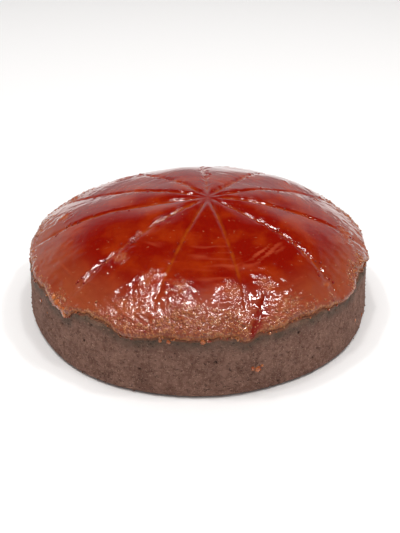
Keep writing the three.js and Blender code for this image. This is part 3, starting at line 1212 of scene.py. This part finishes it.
def lumps(direction, along, lift, size, flatness, roughness, seed):
    """Points and faces of small lumps at given places: the ball, with each point moved in or out by a
    random share up to `roughness`, flattened along the surface's normal, turned about it and scaled."""
    rng = np.random.default_rng(seed)
    count = len(direction)
    shape = ball_points * (1 + roughness * rng.uniform(-1, 1, (count, len(ball_points), 1)))
    shape = shape * (size[:, None] * rng.uniform(*AXES, (count, 3)))[:, None, :]
    shape[..., 2] *= flatness
    spin = rng.uniform(0, 2 * np.pi, (count, 1))
    across = shape[..., 0] * np.cos(spin) - shape[..., 1] * np.sin(spin)
    down = shape[..., 0] * np.sin(spin) + shape[..., 1] * np.cos(spin)
    a = np.radians(direction)
    _, _, out_r, out_z = outline(along)
    normal = np.stack([out_r * np.cos(a), out_r * np.sin(a), out_z], -1)
    sideways = np.stack([-np.sin(a), np.cos(a), 0 * a], -1)
    slope = np.cross(normal, sideways)
    middle = place(direction, along, lift)[:, None, :]
    offset = across[..., None] * sideways[:, None] + down[..., None] * slope[:, None]
    points = middle + offset + shape[..., 2, None] * normal[:, None]
    faces = ball_faces + len(ball_points) * np.arange(count)[:, None, None]
    return points.reshape(-1, 3), faces.reshape(-1, 3)


def on_glaze(direction, along):
    """How far the glaze's surface stands off the sponge at given places."""
    edge = edge_along(direction)
    return plain_thickness(direction, along) + relief(direction, along, edge)


# %% Crumbs under the glaze, and stuck to its edge
CRUMB_PLACES = 9000
CRUMB_REACH = 20  # length in mm of the band that crumbs lie in
CRUMB_DROP = 1.5  # mm by which the band goes below the glaze's edge
CRUMB_CHANCE = 0.3
CRUMB_SIZES = (0.4, 1.0)  # radius in mm
CRUMB_COLOURS = (0.5, 1.1)  # how much of the sponge's colour shows in the reddest and in the palest
CRUMB_SINK = 0.15  # mm by which a crumb's middle lies under the glaze
CRUMB_STUCK = (2, 0.2)  # mm: nearer to the edge than this, a crumb's middle lies so far off the sponge

rng = np.random.default_rng(71)
direction = rng.uniform(-180, 180, CRUMB_PLACES)
edge = edge_along(direction)
along = edge + CRUMB_DROP - rng.uniform(0, CRUMB_REACH, CRUMB_PLACES)
kept = rng.random(CRUMB_PLACES) < CRUMB_CHANCE * crumb_share(direction, along, edge)
direction, along, edge = direction[kept], along[kept], edge[kept]
size = rng.uniform(*CRUMB_SIZES, len(along))
near_edge, stuck_lift = CRUMB_STUCK
lift = np.where(along < edge - near_edge, on_glaze(direction, along) - CRUMB_SINK, stuck_lift)
points, faces = lumps(direction, along, lift, size, flatness=0.7, roughness=0.25, seed=72)
pale = np.repeat(rng.uniform(*CRUMB_COLOURS, len(along)), len(ball_points))
glazed_crumbs = make_piece("glazed_crumbs", points, faces, glaze_finish, thin=pale, crumb=pale)

# %% Beads beside the score lines
SCORE_BEADS = 200
BEAD_PLACES = (38, 104)  # mm along the outline
BEAD_SPREAD = 2.0  # mm to the sides of a line
BEAD_SIZES = (0.5, 1.2)
BEAD_SINK = 0.1

rng = np.random.default_rng(81)
line = rng.choice(len(SCORE_DIRECTIONS), SCORE_BEADS, p=SCORE_TORN / SCORE_TORN.sum())
along = rng.uniform(*BEAD_PLACES, SCORE_BEADS)
sideways = rng.normal(0, BEAD_SPREAD, SCORE_BEADS)
direction = SCORE_DIRECTIONS[line] + np.degrees(sideways / outline(along)[0])
size = rng.uniform(*BEAD_SIZES, SCORE_BEADS)
lift = on_glaze(direction, along) - BEAD_SINK
points, faces = lumps(direction, along, lift, size, flatness=0.5, roughness=0.1, seed=82)
score_beads = make_piece("score_beads", points, faces, glaze_finish)

# %% Drops of loose glaze
DROPS = [  # direction in degrees, height and radius in mm: these are at the front
    (-72.4, 16.4, 2.3),
    (-74.0, 17.6, 1.3),
    (-71.2, 18.4, 1.0),
    (-141.0, 39.5, 1.9),
    (-138.9, 38.6, 2.2),
    (-137.0, 37.8, 2.2),
    (-135.3, 36.6, 2.4),
    (-134.4, 35.0, 1.9),
    (-134.2, 33.4, 1.2),
    (-88.6, 37.6, 1.6),
    (-89.8, 39.0, 1.4),
    (-98.5, 36.6, 1.5),
    (-101.0, 36.9, 1.2),
]
MORE_DROPS = 16  # at the sides and the back, between these directions, heights and radii
MORE_DIRECTIONS = (-40, 220)
MORE_HEIGHTS = (6, 30)
MORE_SIZES = (0.5, 1.6)
WALL_START = 1  # mm above the glaze's edge from which a drop counts as one on the wall
DROP_SINK = 0.2  # mm under the glaze, for a drop on it
DROP_LIFT = 0.1  # mm off the sponge, for a drop on the wall

rng = np.random.default_rng(85)
front_direction, front_height, front_size = np.transpose(DROPS)
direction = np.append(front_direction, rng.uniform(*MORE_DIRECTIONS, MORE_DROPS))
along = along_at(np.append(front_height, rng.uniform(*MORE_HEIGHTS, MORE_DROPS)))
size = np.append(front_size, rng.uniform(*MORE_SIZES, MORE_DROPS))
on_wall = along >= edge_along(direction) - WALL_START
lift = np.where(on_wall, DROP_LIFT, on_glaze(direction, along) - DROP_SINK)
points, faces = lumps(direction, along, lift, size, flatness=0.35, roughness=0.15, seed=86)
amber = np.ones(len(points))
glaze_drops = make_piece("glaze_drops", points, faces, glaze_finish, thin=0.3 * amber, amber=amber)

# %% Loose crumbs on the wall
WALL_CRUMBS = 900
WALL_CRUMB_SIZES = (0.2, 0.6)
WALL_CRUMB_LIFT = 0.05  # mm off the sponge
CLEAR_FOOT = 1.5  # mm above the floor without crumbs
DOWNWARD = 0.8  # below 1 there are more crumbs low down than high up

rng = np.random.default_rng(91)
direction = rng.uniform(-180, 180, WALL_CRUMBS)
edge = edge_along(direction)
along = edge + (FOOT_ALONG - CLEAR_FOOT - edge) * rng.random(WALL_CRUMBS) ** DOWNWARD
size = rng.uniform(*WALL_CRUMB_SIZES, WALL_CRUMBS)
points, faces = lumps(direction, along, WALL_CRUMB_LIFT, size, flatness=0.8, roughness=0.3, seed=92)
wall_crumbs = make_piece("wall_crumbs", points, faces, sponge_finish)

# %% [markdown]
# ## Floor, light and camera
# The cake stands on a plain pale floor. Wet glaze shows whatever it mirrors, so the lights are chosen
# by that. The shoulder mirrors a strip of the ceiling from left to right, and four small lamps hang
# there, because small lamps make sharp glints. The crown mirrors the back of the ceiling, which is dark
# and keeps its red deep. A wide fill softens the shadows and stays out of the mirror. The camera looks
# down at the cake by thirty degrees.

# %% Floor
FLOOR_SIZE = 8000
FLOOR_TONE = tone(243, 247, 252)


def plain_floor():
    """A flat sheet under the cake, for the picture only."""
    finish, start = new_finish("pale_floor")
    close_finish(start, Base_Color=FLOOR_TONE, Roughness=0.7)
    half = FLOOR_SIZE / 2
    corners = np.array([[-half, -half, 0], [half, -half, 0], [half, half, 0], [-half, half, 0]], float)
    mesh = bpy.data.meshes.new("floor")
    mesh.from_pydata(corners * MM, [], [(0, 1, 2, 3)])
    mesh.materials.append(finish)
    sheet = bpy.data.objects.new("floor", mesh)
    bpy.context.scene.collection.objects.link(sheet)
    sheet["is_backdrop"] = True
    print(f"{sheet.name}: {FLOOR_SIZE * MM:.0f} m wide")


plain_floor()

# %% Lights
AIM = Vector((0, 0, 45 * MM))
LAMP_WHITE = (1.0, 0.95, 0.9)
KEY_SIZE = (0.15, 0.11)  # metres
KEYS = {  # place in metres and power in watts
    "left_key": ((-0.53, 0.05, 1.4), 4.0),
    "left_middle_key": ((-0.22, -0.05, 1.5), 3.8),
    "right_middle_key": ((0.29, -0.05, 1.5), 3.3),
    "right_key": ((0.64, 0.02, 1.35), 4.2),
}
FILL_PLACE = (0.0, 0.3, 2.6)
FILL_SIZE = (3.2, 3.2)
FILL_POWER = 42


def softbox(name, at, size, power):
    """An area light at a place in metres, aimed at the cake."""
    light = bpy.data.lights.new(name, "AREA")
    light.shape = "RECTANGLE"
    light.size, light.size_y = size
    light.energy = power
    light.color = LAMP_WHITE
    lamp = bpy.data.objects.new(name, light)
    lamp.location = at
    lamp.rotation_euler = (AIM - Vector(at)).to_track_quat("-Z", "Y").to_euler()
    bpy.context.scene.collection.objects.link(lamp)
    print(f"{name}: {power} W at {at}")
    return lamp


for name, (at, power) in KEYS.items():
    softbox(name, at, KEY_SIZE, power)
ceiling_fill = softbox("ceiling_fill", FILL_PLACE, FILL_SIZE, FILL_POWER)
ceiling_fill.visible_glossy = False

# %% A studio round it
WALLS = (0.95, 0.95, 0.95, 1)
CEILING = (0.04, 0.04, 0.04, 1)
WALLS_END = 0.30  # sine of the angle above the floor where the walls end, and where the ceiling begins
CEILING_START = 0.62
SHEEN = (1.35, 1.22, 1.1, 1)
SHEEN_AT = Vector((0, -0.42, 0.91))  # the middle of the bright part of the ceiling, above the front
SHEEN_RIM = 0.72  # cosine of the angle from its middle where it begins, and where it is full
SHEEN_FULL = 0.96
STUDIO_STRENGTH = 0.4

world = bpy.data.worlds.new("pale_studio")
bpy.context.scene.world = world
world.use_nodes = True
world.node_tree.nodes.clear()
sky = Wire(world.node_tree)
heading = sky.node("ShaderNodeTexCoord", (), (), "Generated")
height = sky.node("ShaderNodeSeparateXYZ", (), {0: heading}, "Z")
stops = [(WALLS_END, WALLS), (CEILING_START, CEILING)]
room = sky.node("ShaderNodeValToRGB", {"stops": stops}, {0: height})
compared = {0: heading, 1: SHEEN_AT}
towards = sky.node("ShaderNodeVectorMath", {"operation": "DOT_PRODUCT"}, compared, "Value")
room = towards.between(SHEEN_RIM, SHEEN_FULL).blend(room, SHEEN)
background = sky.node("ShaderNodeBackground", (), {"Color": room, "Strength": STUDIO_STRENGTH})
sky.node("ShaderNodeOutputWorld", (), {"Surface": background})
print(f"{world.name}: {len(world.node_tree.nodes)} nodes")

# %% Camera
CAMERA_PLACE = (1.1 * MM, -488.9 * MM, 308.1 * MM)
CAMERA_PITCH = 30.41  # degrees down
LENS = 57.0
SENSOR = 36.0

camera_data = bpy.data.cameras.new("camera")
camera_data.lens = LENS
camera_data.sensor_width = SENSOR
camera = bpy.data.objects.new("camera", camera_data)
camera.location = CAMERA_PLACE
camera.rotation_euler = (np.radians(90 - CAMERA_PITCH), 0, 0)
bpy.context.scene.collection.objects.link(camera)
bpy.context.scene.camera = camera
bpy.context.scene.view_settings.view_transform = "Standard"
print(f"the camera stands {np.linalg.norm(CAMERA_PLACE):.2f} m off, {CAMERA_PITCH} degrees down")

# %% [markdown]
# ## Sizes against the solids
# The fine surfaces have to stay inside the solids' box, apart from a hair. Both boxes are measured
# and their sizes printed.

# %% Print the sizes
low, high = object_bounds()
sizes = {"cad": [list(cad_low), list(cad_high)], "visual": [list(low), list(high)]}
spans = {name: [round((b - a) / MM, 1) for a, b in zip(*box)] for name, box in sizes.items()}
print("sizes in mm:", spans)
